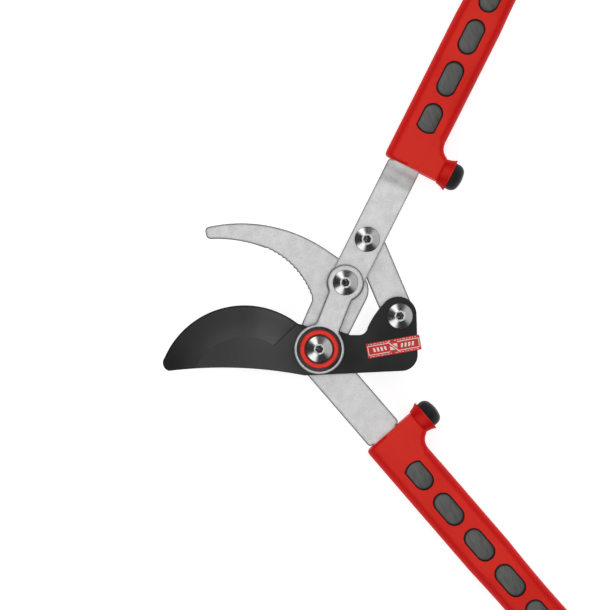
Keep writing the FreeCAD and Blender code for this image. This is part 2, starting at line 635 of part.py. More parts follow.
def make_bumper():
    """Domed stop with a plug in the shell's neck."""
    plug, foot = PLUG_R - CORE_GAP, LIP - PLUG_DEEP + CORE_GAP
    radius, base = SOCKET_R - CORE_GAP, LIP - SOCKET_DEEP + CORE_GAP
    top = LIP + BUMPER_HIGH
    shoulder = (BUMPER_SHOULDER_R, LIP + BUMPER_SHOULDER)
    bulge = (BUMPER_BULGE_R, LIP + BUMPER_BULGE)
    crown = (BUMPER_SHOULDER_R / 2, (3 * top + shoulder[1]) / 4)
    profile = [(0, foot), (plug, foot), (plug, base), (radius, base), (radius, LIP + BUMPER_SIDE),
               (bulge, shoulder), (crown, (0, top))]
    solid = spin(profile, (0, 0), 0)
    solid.rotate(V(0, 0, 0), V(1, 0, 0), -90)
    return solid.translated(V(NECK_AT, 0, GRIP_MID))


# --- Fasteners ---------------------------------------------------------------------------
def recess(point, top):
    """Six-lobed socket in a bolt head."""
    low, high = top - RECESS_DEEP, top + PAST
    solid = rod(point, RECESS_R - LOBE_R / 2, low, high)
    for i in range(6):
        lobe = polar(RECESS_R - LOBE_R, 60 * i + RECESS_DEG, point)
        solid = solid.fuse(rod(lobe, LOBE_R, low, high))
    return solid


def bolt(point, shank, seat, end, radius=BOLT_HEAD, high=BOLT_HEAD_HIGH):
    """Turned head with a short rim, a shallow cone and a flat crown, on a plain shank."""
    profile = [(0, 0), (radius, 0), (radius, HEAD_RIM), (radius - HEAD_CHAMFER, HEAD_RIM + HEAD_CHAMFER),
               (CROWN_R, high), (0, high)]
    solid = spin(profile, point, seat).fuse(rod(point, shank, end, seat)).removeSplitter()
    return solid.cut(recess(point, seat + high))


def nut(point, flats, bore, low, high):
    """Hexagon nut with its corners turned back on both faces."""
    corner = flats / math.sqrt(3)
    cut_back = corner - flats / 2
    rise = cut_back * NUT_SLOPE
    profile = [(bore, 0), (flats / 2, 0), (corner, rise), (corner, high - low - rise),
               (flats / 2, high - low), (bore, high - low)]
    return hexagon(point, flats, low, high).common(spin(profile, point, low))


def slip_washer(point, radius, shank, low):
    """Thin washer in the gap between two layers, clear of both."""
    return tube(point, radius, shank + RUN, low + FACE, low + SLIP - FACE)


def make_cap():
    profile = [(PIVOT_SHANK + PRESS, 0), (CAP_R, 0), (CAP_R, CAP_RIM), (CAP_TOP_R, CAP_HIGH),
               (RING_OUT + PRESS, CAP_HIGH), (RING_OUT + PRESS, CAP_FLOOR),
               (PIVOT_SHANK + PRESS, CAP_FLOOR)]
    return spin(profile, PIVOT, STRAP_TOP)


def make_ring():
    side = RING_HIGH - RING_ROUND
    diagonal = RING_ROUND * DIAGONAL
    profile = [(RING_IN, 0), (RING_OUT, 0), (RING_OUT, side),
               ((RING_OUT - diagonal, RING_HIGH - diagonal), (RING_OUT - RING_ROUND, RING_HIGH)),
               (RING_IN + RING_ROUND, RING_HIGH),
               ((RING_IN + diagonal, RING_HIGH - diagonal), (RING_IN, side))]
    return spin(profile, PIVOT, STRAP_TOP + CAP_FLOOR)


def make_label():
    half_long, half_wide = LABEL_LONG / 2, LABEL_WIDE / 2
    label = block((-half_long, half_long), (-half_wide, half_wide), (0, LABEL_THICK))
    label = label.makeFillet(LABEL_ROUND, [e for e in label.Edges if upright(e)])
    label.rotate(V(0, 0, 0), UP, LABEL_DEG)
    return label.translated(V(*LABEL_CENTRE, BLADE_TOP))


def fasteners():
    """Nodes at the four pivots, by name."""
    nut_seat = HOOK_LOW - NUT_WASHER - FACE
    nut_low = nut_seat - NUT_HIGH
    bolt_end = nut_low - BOLT_PROUD
    parts = {
        "pivot_bolt": bolt(PIVOT, PIVOT_SHANK, STRAP_TOP + CAP_FLOOR, 0, PIVOT_HEAD, PIVOT_HEAD_HIGH),
        "pivot_nut": nut(PIVOT, PIVOT_NUT_FLATS, PIVOT_SHANK + PRESS, 0, PIVOT_NUT_HIGH),
        "pivot_nut_washer": tube(PIVOT, PIVOT_WASHER_R, PIVOT_SHANK + PRESS, PIVOT_NUT_HIGH, HOOK_LOW),
        "pivot_cap": make_cap(),
        "pivot_ring": make_ring(),
        "pivot_bush": tube(PIVOT, BLADE_BUSH_R, PIVOT_SHANK + RUN, BLADE_LOW, BLADE_TOP),
        "pivot_slip_rear": slip_washer(PIVOT, PIVOT_SLIP_R, PIVOT_SHANK, HOOK_TOP),
        "pivot_slip_front": slip_washer(PIVOT, PIVOT_SLIP_R, PIVOT_SHANK, BLADE_TOP),
        "handle_bolt": bolt(HANDLE_PIVOT, BOLT_SHANK, STRAP_TOP, bolt_end),
        "handle_bush": tube(HANDLE_PIVOT, HANDLE_BUSH_R, BOLT_SHANK + RUN, BLADE_LOW, BLADE_TOP),
        "handle_slip_rear": slip_washer(HANDLE_PIVOT, HANDLE_SLIP_R, BOLT_SHANK, HOOK_TOP),
        "handle_slip_front": slip_washer(HANDLE_PIVOT, HANDLE_SLIP_R, BOLT_SHANK, BLADE_TOP),
        "link_top_bolt": bolt(LINK_TOP, BOLT_SHANK, BLADE_TOP, BLADE_LOW),
        "link_top_stud": rod(LINK_TOP, BOLT_SHANK, bolt_end, HOOK_TOP),
        "link_top_slip": tube(LINK_TOP, SLIP_R, BOLT_SHANK, HOOK_TOP, HOOK_TOP + SLIP - FACE),
        "link_bottom_bolt": bolt(LINK_BOTTOM, BOLT_SHANK, BLADE_TOP, bolt_end),
        "link_bottom_slip": slip_washer(LINK_BOTTOM, SLIP_R, BOLT_SHANK, HOOK_TOP),
    }
    bore, nut_face = BOLT_SHANK + PRESS, nut_seat + NUT_WASHER
    for name, point in (("handle", HANDLE_PIVOT), ("link_top", LINK_TOP), ("link_bottom", LINK_BOTTOM)):
        parts[name + "_washer"] = tube(point, NUT_WASHER_R, bore, nut_seat, nut_face)
        parts[name + "_nut"] = nut(point, NUT_FLATS, bore, nut_low, nut_seat)
    return parts


def main():
    os.makedirs("parts", exist_ok=True)
    parts = {
        "hook_plate": make_hook(),
        "cutting_blade": make_blade(),
        "side_strap": make_strap(),
        "upper_bar": make_upper_bar(),
        "link_bar": make_link(),
        "coating_label": make_label(),
    }
    parts.update(fasteners())
    grips = (("upper", upper_frame(), BAR_MID - JOGGLE_DROP, BLADE_THICK),
             ("lower", lower_frame(), GRIP_MID, HOOK_THICK))
    for name, frame, middle, thick in grips:
        parts[name + "_grip_shell"] = make_shell(middle, thick).transformGeometry(frame)
        parts[name + "_grip_core"] = make_core(middle, thick).transformGeometry(frame)
        parts[name + "_bumper"] = make_bumper().transformGeometry(frame)
    for name, shape in parts.items():
        shape.exportStep("parts/" + name + ".step")
        print(name, len(shape.Solids), round(shape.Volume, 1), shape.isValid())


main()
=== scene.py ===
"""Looks of the compound-action bypass pruning shears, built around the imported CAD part.

Metres, in the CAD part's frame: +Z towards the front face, origin on the main pivot's axis.
"""

import json
import math

import bmesh
import bpy
from mathutils import Matrix, Vector

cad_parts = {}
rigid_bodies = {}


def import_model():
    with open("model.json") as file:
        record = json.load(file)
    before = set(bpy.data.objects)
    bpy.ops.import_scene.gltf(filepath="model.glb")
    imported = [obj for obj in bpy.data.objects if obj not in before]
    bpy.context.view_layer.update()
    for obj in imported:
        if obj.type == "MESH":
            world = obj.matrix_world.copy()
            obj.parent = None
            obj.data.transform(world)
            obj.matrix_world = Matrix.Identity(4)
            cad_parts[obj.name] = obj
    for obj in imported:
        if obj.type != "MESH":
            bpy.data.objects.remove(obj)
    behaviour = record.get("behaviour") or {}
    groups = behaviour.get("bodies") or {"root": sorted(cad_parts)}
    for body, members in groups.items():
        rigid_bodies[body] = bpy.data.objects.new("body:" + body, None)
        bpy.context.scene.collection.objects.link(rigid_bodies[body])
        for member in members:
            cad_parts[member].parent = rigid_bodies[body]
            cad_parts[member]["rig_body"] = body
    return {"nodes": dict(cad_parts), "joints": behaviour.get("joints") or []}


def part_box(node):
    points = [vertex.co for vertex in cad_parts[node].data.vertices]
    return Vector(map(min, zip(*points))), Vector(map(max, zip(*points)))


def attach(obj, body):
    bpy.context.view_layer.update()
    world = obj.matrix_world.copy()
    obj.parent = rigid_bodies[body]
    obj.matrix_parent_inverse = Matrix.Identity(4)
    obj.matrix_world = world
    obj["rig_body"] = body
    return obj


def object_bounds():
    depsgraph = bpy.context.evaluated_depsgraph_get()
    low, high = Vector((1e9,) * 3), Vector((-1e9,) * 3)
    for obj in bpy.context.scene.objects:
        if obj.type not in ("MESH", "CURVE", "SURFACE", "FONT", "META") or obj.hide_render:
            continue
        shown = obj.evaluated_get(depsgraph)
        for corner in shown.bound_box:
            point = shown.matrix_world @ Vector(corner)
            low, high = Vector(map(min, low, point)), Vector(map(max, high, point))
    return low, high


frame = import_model()
cad_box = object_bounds()

MM = 0.001

# --- Places that the CAD part's own pieces give ------------------------------------------
JOINTS = {joint["name"]: Vector(joint["pos_m"]) for joint in frame["joints"]}
HANDLE_PIVOT = JOINTS["handle_pivot"]
FRONT_OF_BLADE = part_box("cutting_blade")[1].z
FRONT_OF_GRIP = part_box("lower_grip_shell")[1].z
BACK_OF_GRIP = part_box("lower_grip_shell")[0].z
GRIP_MID = (FRONT_OF_GRIP + BACK_OF_GRIP) / 2

# --- Handles -----------------------------------------------------------------------------
UPPER_DEG, LOWER_DEG = 63.3, -49.2    # directions of the two handles
UPPER_COLLAR, LOWER_COLLAR = 81.8 * MM, 67.4 * MM
UPPER_SHIFT, LOWER_SHIFT = -1.3 * MM, -4.05 * MM  # grip's middle, left of the pivot's line

# --- Sides of the grips ------------------------------------------------------------------
SHELL_HALF, WAIST_HALF, FLARE_HALF = 15.2 * MM, 14.5 * MM, 17.0 * MM
STRAIGHT_TO, WAIST_AT, FLARE_FROM = 100.0 * MM, 150.0 * MM, 202.0 * MM
PART_START, PART_END = {1: 34.5 * MM, -1: 3.0 * MM}, 200.0 * MM

# --- Grip windows and their soft pads ----------------------------------------------------
FIRST_WINDOW, FIRST_LONG = 22.9 * MM, 19.7 * MM
WINDOW_LONG, WINDOW_WIDE, RIB, MORE_WINDOWS = 23.5 * MM, 12.6 * MM, 5.6 * MM, 5
FLAT_BOW, NEAR_BOW, FAR_BOW = 2.5 * MM, 5.6 * MM, 5.9 * MM
PAD_SUNK = 0.8 * MM       # the pads' rims, below the grip's face
PAD_RISE = 0.65 * MM      # a pad's middle, above its rim
PAD_INSET = 0.12 * MM
PAD_FOOT = 0.02 * MM      # a pad's flat back, below its rim
PAD_RINGS, DOME_POWER = 9, 2.6

# --- Blade -------------------------------------------------------------------------------
EDGE_CENTRE, EDGE_R, BEVEL_IN = Vector((-46.4, -27.0, 0)) * MM, 54.1 * MM, 34.4 * MM
HEEL_BEARING, RUNOUT_BEARING = math.radians(52.2), math.radians(222.0)

# --- Label -------------------------------------------------------------------------------
LABEL_CENTRE, LABEL_DEG = Vector((46.1, 1.5, 0)) * MM, 10.1
LABEL_LONG, LABEL_WIDE = 33.6 * MM, 9.3 * MM
PRINT_THICK = 0.03 * MM

# --- Nut collars and parting lines -------------------------------------------------------
COLLAR_BORE, COLLAR_R, COLLAR_HIGH, COLLAR_SIDES = 4.1 * MM, 5.6 * MM, 0.5 * MM, 64
RIDGE_HALF, RIDGE_PROUD, RIDGE_SUNK, RIDGE_STEPS = 0.18 * MM, 0.1 * MM, 0.05 * MM, 60

# --- Camera and light --------------------------------------------------------------------
VIEW_CENTRE = Vector((-8.8, 27.3, 17.0)) * MM
VIEW_WIDE = 378.2 * MM
LENS, SENSOR = 200.0, 36.0
VIEW_FAR = 50.0
DARK = 0.03               # room light between the lamps
ZENITH, ZENITH_EDGE = 2.15, (9.0, 17.0)    # light overhead, and where it ends, from the vertical
WALL, WALL_EDGE = 1.1, (52.0, 62.0)       # light from the sides, and where it starts
BANKS = (                 # azimuth, half width full and fading, level
    (121.0, 8.0, 21.0, 1.3),
    (233.0, 13.0, 27.0, 1.15),
    (8.0, 30.0, 60.0, 0.45),
)
CARD, CARD_EDGE = (63.0, 16.0, 34.0, 1.0), (34.0, 40.0)   # a low card beyond the upper handle
FLOOR_GLOW = 0.78
FLOOR_GAP, FLOOR_REACH = 0.2 * MM, 6.0
BACKDROP = 0.97           # grey that the camera sees past the floor


# --- Materials ---------------------------------------------------------------------------
# Bands on a bolt, each fading over these shares of the width or height of its box; the bands at the recess,
# round the crown and at the rim set where painted shade goes
RECESS, CROWN_SHADE, RIM = (0.168, 0.176), (0.203, 0.211), (0.480, 0.492)
RECESS_FLOOR, HEAD_TOP = (0.40, 0.50), (0.980, 0.992)
BOX_MIDDLE = (0.5, 0.5, 0.5)
RING_MIDDLE, RING_RIM_SHADE = 0.434, (0.036, 0.062)    # the ring's mid radius, and its rims to each side, where painted shade darkens it
EDGE_ALIKE = (0.92, 0.999)    # how alike the rounded and true normals are, at an edge and on a face
GRIND_FOOT = (4.9 * MM, 4.6 * MM)    # below the blade's front, where its grind falls into shade
PAD_LIGHT_SIDE = (-0.85, 0.53, 0)    # painted light: pads are paler where they lean this way


class Finish:
    """A procedural material: one Principled shader and the nodes that feed it."""

    def __init__(self, name, **fixed):
        self.material = bpy.data.materials.new(name)
        self.material.use_nodes = True
        self.tree = self.material.node_tree
        self.shader = self.tree.nodes["Principled BSDF"]
        for key, value in fixed.items():
            self.shader.inputs[key.replace("_", " ")].default_value = value
        where = self.node("ShaderNodeTexCoord")
        self.place = where.outputs["Object"]
        self.normal = where.outputs["Normal"]

    def node(self, kind, **inputs):
        made = self.tree.nodes.new(kind)
        for key, value in inputs.items():
            self.put(made.inputs[key.replace("_", " ")], value)
        return made

    def put(self, socket, value):
        if isinstance(value, bpy.types.NodeSocket):
            self.tree.links.new(value, socket)
        else:
            socket.default_value = value

    def stretched(self, scale, turn_deg=0.0):
        """Object coordinates turned about Z, then scaled along each axis."""
        turned = self.node("ShaderNodeMapping", Vector=self.place, Rotation=(0, 0, math.radians(-turn_deg)))
        return self.node("ShaderNodeMapping", Vector=turned.outputs[0], Scale=scale).outputs[0]

    def noise(self, size, detail=3.0, rough=0.55, at=None):
        """Noise whose features are about this size."""
        made = self.node("ShaderNodeTexNoise", Vector=at or self.place, Scale=1 / size)
        made.inputs["Detail"].default_value = detail
        made.inputs["Roughness"].default_value = rough
        return made.outputs["Fac"]

    def spread(self, value, low, high, to_low=0.0, to_high=1.0, smooth=True):
        """Takes a value from one range to another, and holds it at both ends."""
        made = self.node("ShaderNodeMapRange", Value=value)
        made.interpolation_type = "SMOOTHSTEP" if smooth else "LINEAR"
        for key, number in (("From Min", low), ("From Max", high), ("To Min", to_low), ("To Max", to_high)):
            made.inputs[key].default_value = number
        return made.outputs["Result"]

    def axis(self, vector, letter):
        return self.node("ShaderNodeSeparateXYZ", Vector=vector).outputs[letter]

    def maths(self, operation, a, b=0.0):
        made = self.tree.nodes.new("ShaderNodeMath")
        made.operation = operation
        self.put(made.inputs[0], a)
        self.put(made.inputs[1], b)
        return made.outputs[0]

    def vector(self, operation, a, b=(0, 0, 0)):
        """Vector arithmetic, which gives a number from DOT_PRODUCT and LENGTH."""
        made = self.tree.nodes.new("ShaderNodeVectorMath")
        made.operation = operation
        self.put(made.inputs[0], a)
        self.put(made.inputs[1], b)
        return made.outputs["Value" if operation in ("DOT_PRODUCT", "LENGTH") else "Vector"]

    def off_axis(self, vector, centre):
        """Distance from the upright line through this centre."""
        away = self.vector("SUBTRACT", vector, centre)
        return self.vector("LENGTH", self.vector("MULTIPLY", away, (1, 1, 0)))

    def blend(self, share, first, second):
        """Colour between two colours."""
        made = self.tree.nodes.new("ShaderNodeMix")
        made.data_type = "RGBA"
        self.put(made.inputs["Factor"], share)
        self.put(made.inputs["A"], first)
        self.put(made.inputs["B"], second)
        return made.outputs["Result"]

    def ramp(self, value, *stops):
        """A level that passes through (position, level) stops."""
        first, last = stops[0][0], stops[-1][0]
        made = self.node("ShaderNodeValToRGB", Fac=self.spread(value, first, last, smooth=False))
        elements = made.color_ramp.elements
        for at, _ in stops[1:-1]:
            elements.new((at - first) / (last - first))
        for element, (_, level) in zip(elements, stops):
            element.color = (level, level, level, 1)
        return made.outputs["Color"]

    def near_edge(self, radius):
        """1 on and beside an edge of the piece, 0 on its flat faces."""
        rounded = self.node("ShaderNodeBevel", Radius=radius)
        rounded.samples = 6
        true = self.node("ShaderNodeNewGeometry").outputs["Normal"]
        alike = self.vector("DOT_PRODUCT", rounded.outputs["Normal"], true)
        return self.spread(alike, *EDGE_ALIKE, 1.0, 0.0)

    def scaled(self, colour, by):
        """Colour times a level."""
        made = self.node("ShaderNodeVectorMath", Vector=colour)
        made.operation = "SCALE"
        self.put(made.inputs["Scale"], by)
        return made.outputs[0]

    def tint(self, dark, light, by):
        self.put(self.shader.inputs["Base Color"], self.blend(by, dark, light))

    def rough(self, low, high, by):
        self.put(self.shader.inputs["Roughness"], self.spread(by, 0.3, 0.7, low, high))

    def bump(self, height, depth, strength=1.0):
        """Relief of this depth in metres."""
        made = self.node("ShaderNodeBump", Height=height, Distance=depth, Strength=strength)
        self.put(self.shader.inputs["Normal"], made.outputs[0])


def grey(level):
    return (level, level, level, 1)


def plate_steel():
    """Tumbled zinc-grey plate, with fine grain, faint clouds and small light and dark specks, and painted
    shade on its edges and side walls.
    """
    f = Finish("plate_steel", Metallic=0.85)
    grain = f.noise(0.55 * MM, 4.0, 0.7)
    clouds = f.noise(6 * MM, 4.0, 0.6)
    pits = f.spread(f.noise(1.3 * MM, 2.0, 0.6), 0.66, 0.74)
    glints = f.spread(f.noise(0.9 * MM, 2.0, 0.6, f.stretched((1.0, 1.3, 1.0), 35)), 0.66, 0.74)
    tone = f.maths("ADD", f.maths("MULTIPLY", grain, 0.6), f.maths("MULTIPLY", clouds, 0.4))
    body = f.blend(f.spread(tone, 0.38, 0.62), grey(0.545), grey(0.70))
    body = f.blend(pits, body, grey(0.42))
    body = f.blend(glints, body, grey(0.80))
    # painted shade: side walls and chamfers darker than the flat faces, and a dark line beside every edge
    flat = f.spread(f.maths("ABSOLUTE", f.axis(f.normal, "Z")), 0.75, 0.96)
    body = f.blend(f.near_edge(2.2 * MM), body, grey(0.16))
    f.put(f.shader.inputs["Base Color"], f.blend(flat, grey(0.06), body))
    f.rough(0.36, 0.48, grain)
    f.bump(grain, 0.02 * MM, 0.5)
    return f.material


def blade_coating():
    """Satin black non-stick coating, with painted light and shade: paler mid-blade and on the grind, darker
    along the cutting edge.
    """
    f = Finish("blade_coating", IOR=1.45, Specular_IOR_Level=0.25)
    grain = f.noise(0.35 * MM, 3.0, 0.65)
    clouds = f.noise(22 * MM, 2.0, 0.5)
    # painted light and shade along the blade: palest mid-blade, darker at the tip and round the boss
    level = f.ramp(f.axis(f.place, "X"), (-97 * MM, 0.013), (-62 * MM, 0.034), (-36 * MM, 0.050),
                   (-20 * MM, 0.044), (-8 * MM, 0.025), (62 * MM, 0.027))
    radius = f.off_axis(f.place, EDGE_CENTRE)
    heel = EDGE_CENTRE + EDGE_R * Vector((math.cos(HEEL_BEARING), math.sin(HEEL_BEARING), 0))
    across = (-math.sin(RUNOUT_BEARING), math.cos(RUNOUT_BEARING), 0)
    past_line = f.vector("DOT_PRODUCT", f.vector("SUBTRACT", f.place, heel), across)

    # painted highlight: the grind on the front face is paler, most towards the heel
    front = f.spread(f.axis(f.normal, "Z"), 0.1, 0.3)
    outside = f.maths("MULTIPLY", f.spread(radius, BEVEL_IN - 0.1 * MM, BEVEL_IN + 0.3 * MM), front)
    on_grind = f.maths("MULTIPLY", outside, f.spread(past_line, -0.2 * MM, 0.1 * MM, 1.0, 0.0))
    near_heel = f.spread(f.axis(f.place, "X"), -48 * MM, -20 * MM, 1.0, 1.75)
    inner = f.spread(radius, BEVEL_IN, EDGE_R - 6 * MM, 1.42, 1.0)
    paler = f.maths("SUBTRACT", f.maths("MULTIPLY", near_heel, inner), 1.0)
    grind = f.maths("ADD", f.maths("MULTIPLY", on_grind, paler), 1.0)

    # painted shade: a dark line where the grind runs out, a dark band along the cutting edge, and darker
    # near the back face
    line = f.spread(f.maths("ABSOLUTE", past_line), 0.15 * MM, 0.45 * MM, 1.0, 0.0)
    line = f.maths("MULTIPLY", line, outside)
    edge = f.spread(radius, EDGE_R - 1.3 * MM, EDGE_R - 0.6 * MM)
    above = f.spread(f.axis(f.place, "Z"), *(FRONT_OF_BLADE - depth for depth in GRIND_FOOT))
    # real grain and clouds, multiplied by the painted light and shade above
    shade = f.spread(grain, 0.3, 0.7, 0.92, 1.08)
    for share in (f.spread(clouds, 0.3, 0.7, 0.95, 1.05), f.spread(line, 0.0, 1.0, 1.0, 0.35),
                  f.spread(edge, 0.0, 1.0, 1.0, 0.2), f.spread(above, 0.0, 1.0, 0.6, 1.0), grind):
        shade = f.maths("MULTIPLY", shade, share)
    f.put(f.shader.inputs["Base Color"], f.scaled(level, shade))
    f.rough(0.30, 0.40, clouds)
    f.bump(grain, 0.01 * MM, 0.4)
    return f.material


def turned(name, level, rough):
    """Steel turned on a lathe: fine rings about the piece's own axis, a rough recess in its head, and
    painted shade in the recess, round the crown and at the rim.
    """
    f = Finish(name, Metallic=1.0, Anisotropic=0.75)
    own = f.node("ShaderNodeTexCoord").outputs["Generated"]
    radius, high = f.off_axis(own, BOX_MIDDLE), f.axis(own, "Z")
    ring = f.tree.nodes.new("ShaderNodeTexNoise")
    ring.noise_dimensions = "1D"
    f.put(ring.inputs["W"], radius)
    f.put(ring.inputs["Scale"], 150.0)
    rings = ring.outputs["Fac"]
    steel = f.blend(f.spread(rings, 0.35, 0.65), grey(level * 0.82), grey(level))
    # painted shade: darker inside the crown round the recess, and a dark line round the rim
    steel = f.blend(f.spread(radius, *CROWN_SHADE, 1.0, 0.0), steel, grey(level * 0.30))
    steel = f.blend(f.spread(radius, *RIM), steel, grey(level * 0.18))
    # painted shade: the recess floor is dark, with a faint pattern of facets
    sunk = f.maths("MULTIPLY", f.spread(high, *HEAD_TOP, 1.0, 0.0), f.spread(high, *RECESS_FLOOR))
    sunk = f.maths("MULTIPLY", sunk, f.spread(radius, *RECESS, 1.0, 0.0))
    facets = f.spread(f.noise(0.9 * MM, 2.0, 0.7), 0.50, 0.62)
    floor = f.blend(facets, grey(0.035), grey(0.30))
    f.put(f.shader.inputs["Base Color"], f.blend(sunk, steel, floor))
    plain = f.spread(rings, 0.3, 0.7, rough * 0.8, rough * 1.2)
    f.put(f.shader.inputs["Roughness"], f.maths("ADD", plain, f.maths("MULTIPLY", sunk, 0.4)))
    tangent = f.tree.nodes.new("ShaderNodeTangent")
    tangent.direction_type = "RADIAL"
    tangent.axis = "Z"
    f.put(f.shader.inputs["Tangent"], tangent.outputs[0])
    f.bump(rings, 0.01 * MM, 0.2)
    return f.material


def zinc(name, level):
    """Zinc-plated nut and washer steel."""
    f = Finish(name, Metallic=1.0)
    grain = f.noise(0.5 * MM, 3.0, 0.6)
    scratches = f.noise(1.2 * MM, 2.0, 0.5, f.stretched((1, 0.08, 1), 30))
    f.tint(grey(level * 0.85), grey(level), f.spread(scratches, 0.35, 0.65))
    f.rough(0.24, 0.38, grain)
    f.bump(scratches, 0.01 * MM, 0.4)
    return f.material


def moulded(name, dark, light, low, high, cloud=12 * MM, grain=0.5 * MM, depth=0.015 * MM, **fixed):
    """Moulded plastic or rubber: a slow drift of colour and a fine skin."""
    f = Finish(name, **fixed)
    skin = f.noise(grain, 2.0, 0.5)
    drift = f.noise(cloud, 3.0, 0.5)
    f.tint(dark, light, f.spread(drift, 0.3, 0.7))
    f.rough(low, high, drift)
    f.bump(skin, depth, 0.5)
    return f.material


def grip_plastic():
    """Satin red nylon, with painted shade: deeper in colour where it turns away from the flat faces."""
    f = Finish("grip_red", Specular_IOR_Level=0.09)
    drift = f.noise(40 * MM, 3.0, 0.5)
    skin = f.noise(0.5 * MM, 2.0, 0.5)
    shift = f.spread(drift, 0.3, 0.7)
    # painted light and shade: flat faces a lighter red, rounded sides a deeper, darker red
    faces = f.blend(shift, (0.69, 0.020, 0.012, 1), (0.77, 0.032, 0.021, 1))
    shaded_slopes = f.blend(shift, (0.52, 0.001, 0.0003, 1), (0.59, 0.003, 0.0008, 1))
    flat = f.spread(f.maths("ABSOLUTE", f.axis(f.normal, "Z")), 0.80, 0.99)
    f.put(f.shader.inputs["Base Color"], f.blend(flat, shaded_slopes, faces))
    f.rough(0.42, 0.52, drift)
    f.bump(skin, 0.015 * MM, 0.5)
    return f.material


def ring_plastic():
    """Red nylon ring, with painted shade darker towards both of its rims."""
    f = Finish("ring_red", Specular_IOR_Level=0.2)
    own = f.node("ShaderNodeTexCoord").outputs["Generated"]
    off = f.maths("ABSOLUTE", f.maths("SUBTRACT", f.off_axis(own, BOX_MIDDLE), RING_MIDDLE))
    cloud = f.noise(6 * MM, 2.0, 0.5)
    body = f.blend(f.spread(cloud, 0.3, 0.7), (0.78, 0.022, 0.008, 1), (0.90, 0.032, 0.014, 1))
    # painted shade towards both rims
    body = f.blend(f.spread(off, *RING_RIM_SHADE), body, (0.20, 0.002, 0.001, 1))
    f.put(f.shader.inputs["Base Color"], body)
    f.rough(0.24, 0.34, cloud)
    f.bump(f.noise(0.5 * MM, 2.0, 0.5), 0.01 * MM, 0.4)
    return f.material


def soft_inlay():
    """Grey soft inlay with faint streaks where it flowed into the windows, a painted sheen where it leans
    one way and painted shade round its rim.
    """
    f = Finish("grip_grey", IOR=1.45)
    streaks = f.noise(2.2 * MM, 3.0, 0.6, f.stretched((1, 0.25, 1), 20))
    skin = f.noise(0.4 * MM, 2.0, 0.5)
    # painted sheen: paler where the pad leans one way
    lean = f.vector("DOT_PRODUCT", f.normal, PAD_LIGHT_SIDE)
    sheen = f.spread(lean, -0.16, 0.16)
    streaked = f.maths("MULTIPLY", f.spread(streaks, 0.3, 0.7), 0.45)
    tone = f.maths("ADD", streaked, f.maths("MULTIPLY", sheen, 0.55))
    body = f.blend(tone, grey(0.050), (0.136, 0.143, 0.133, 1))
    # painted shade: a dark line round the pad's rim
    f.put(f.shader.inputs["Base Color"], f.blend(f.near_edge(0.5 * MM), body, grey(0.02)))
    f.rough(0.42, 0.58, streaks)
    f.bump(skin, 0.02 * MM, 0.5)
    return f.material


def ink_white():
    f = Finish("label_ink", Roughness=0.5)
    wear = f.noise(0.35 * MM, 3.0, 0.6)
    f.tint((0.80, 0.70, 0.66, 1), (0.88, 0.84, 0.82, 1), f.spread(wear, 0.35, 0.6))
    f.bump(wear, 0.01 * MM, 0.3)
    return f.material


def pale_floor():
    f = Finish("floor_paper", Roughness=0.9, Specular_IOR_Level=0.0, Emission_Strength=FLOOR_GLOW)
    f.shader.inputs["Emission Color"].default_value = (1, 1, 1, 1)
    cloud = f.noise(400 * MM, 2.0, 0.5)
    f.tint(grey(0.45), grey(0.47), cloud)
    return f.material


MATERIALS = {
    "plate_steel": plate_steel(),
    "blade_coating": blade_coating(),
    "bolt_steel": turned("bolt_steel", 0.88, 0.13),
    "nut_steel": zinc("nut_steel", 0.62),
    "cap_black": moulded("cap_black", grey(0.006), grey(0.012), 0.20, 0.30, Specular_IOR_Level=0.3),
    "ring_red": ring_plastic(),
    "bush_bronze": zinc("bush_bronze", 0.45),
    "slip_washer": moulded("slip_washer", (0.66, 0.63, 0.56, 1), (0.75, 0.73, 0.68, 1), 0.4, 0.5),
    "grip_red": grip_plastic(),
    "nylon_blue": moulded("nylon_blue", (0.03, 0.10, 0.30, 1), (0.04, 0.13, 0.36, 1), 0.4, 0.5),
    "grip_grey": soft_inlay(),
    "bumper_rubber": moulded("bumper_rubber", grey(0.005), grey(0.009), 0.40, 0.52, Specular_IOR_Level=0.2),
    "label_film": moulded("label_film", (0.60, 0.020, 0.014, 1), (0.68, 0.032, 0.024, 1), 0.4, 0.5,
                          Specular_IOR_Level=0.25),
}
SLOT_OF_NODE = {
    "hook_plate": "plate_steel", "side_strap": "plate_steel", "upper_bar": "plate_steel",
    "link_bar": "plate_steel", "cutting_blade": "blade_coating", "coating_label": "label_film",
    "pivot_cap": "cap_black", "pivot_ring": "ring_red",
}


def slot_of(node):
    """Material slot of a CAD node, by its name."""
    if node in SLOT_OF_NODE:
        return SLOT_OF_NODE[node]
    endings = {"shell": "grip_red", "core": "grip_grey", "bumper": "bumper_rubber", "bush": "bush_bronze",
               "bolt": "bolt_steel", "stud": "bolt_steel", "nut": "nut_steel", "washer": "nut_steel"}
    return endings.get(node.split("_")[-1], "slip_washer")


def dress_cad_nodes():
    for name, node in frame["nodes"].items():
        node.data.materials.clear()
        node.data.materials.append(MATERIALS[slot_of(name)])


# --- Mesh helpers ------------------------------------------------------------------------
def turn_outwards(mesh):
    """Turns the faces of closed pieces so that their front is outside."""
    work = bmesh.new()
    work.from_mesh(mesh)
    bmesh.ops.recalc_face_normals(work, faces=work.faces)
    work.to_mesh(mesh)
    work.free()


def mesh_piece(name, vertices, faces, material, body=None, smooth=True):
    """A mesh object, which is part of the shears when it has a body to ride on."""
    mesh = bpy.data.meshes.new(name)
    mesh.from_pydata([tuple(v) for v in vertices], [], faces)
    mesh.validate()
    if body:
        turn_outwards(mesh)
    mesh.polygons.foreach_set("use_smooth", [smooth] * len(mesh.polygons))
    mesh.materials.append(material)
    piece = bpy.data.objects.new(name, mesh)
    bpy.context.scene.collection.objects.link(piece)
    if body:
        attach(piece, body)
    return piece


